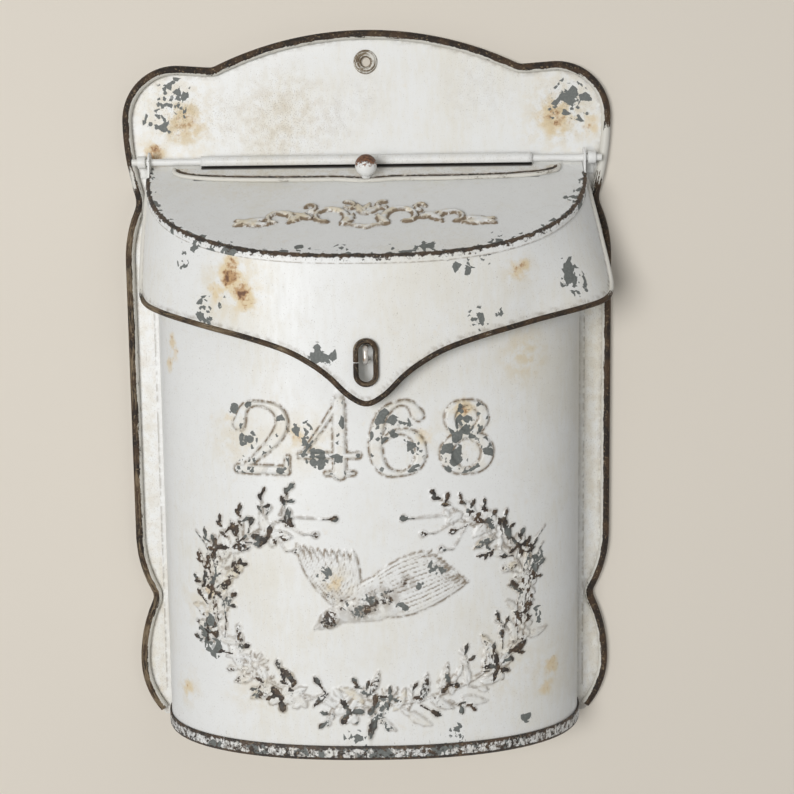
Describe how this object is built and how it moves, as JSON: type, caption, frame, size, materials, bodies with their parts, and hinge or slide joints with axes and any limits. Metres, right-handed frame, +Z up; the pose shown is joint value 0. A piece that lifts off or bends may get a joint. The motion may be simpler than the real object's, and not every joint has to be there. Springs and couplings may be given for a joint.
{
  "type": "wall-mounted letterbox",
  "caption": "Sheet-metal wall letterbox with a shaped back plate, rounded embossed box, sloping hinged lid with a deep skirt, and a letter-slot flap with a ball knob.",
  "frame": {"origin": "centre of the back plate's back face, at half the overall height", "axes": "+X across to the viewer's right, +Y back into the wall, +Z up"},
  "size_m": [0.26, 0.09, 0.3728],
  "materials": {
    "enamel": "chipped off-white paint, semi-gloss",
    "worn_edge": "paint worn away, dark brown rusted steel",
    "bare_steel": "dull"
  },
  "bodies": {
    "box": {"back_plate": "enamel", "hanging_eyelet": "worn_edge", "hinge_lug_left": "enamel", "hinge_lug_right": "enamel", "hinge_rod": "enamel", "body_shell": "enamel", "bottom_pan": "enamel", "lock_staple": "bare_steel"},
    "lid": {"lid_top": "enamel", "lid_skirt": "enamel", "lock_slot_ring": "worn_edge"},
    "flap": {"slot_flap": "enamel", "flap_knob": "enamel", "knob_screw": "bare_steel"}
  },
  "joints": [
    {"name": "lid_hinge", "type": "hinge", "parent": "box", "child": "lid", "pos_m": [0, -0.0085, 0.127], "axis": [-1, 0, 0], "range_deg": [0, 70]},
    {"name": "flap_hinge", "type": "hinge", "parent": "lid", "child": "flap", "pos_m": [0, -0.0085, 0.127], "axis": [-1, 0, 0], "range_deg": [0, 38]}
  ]
}
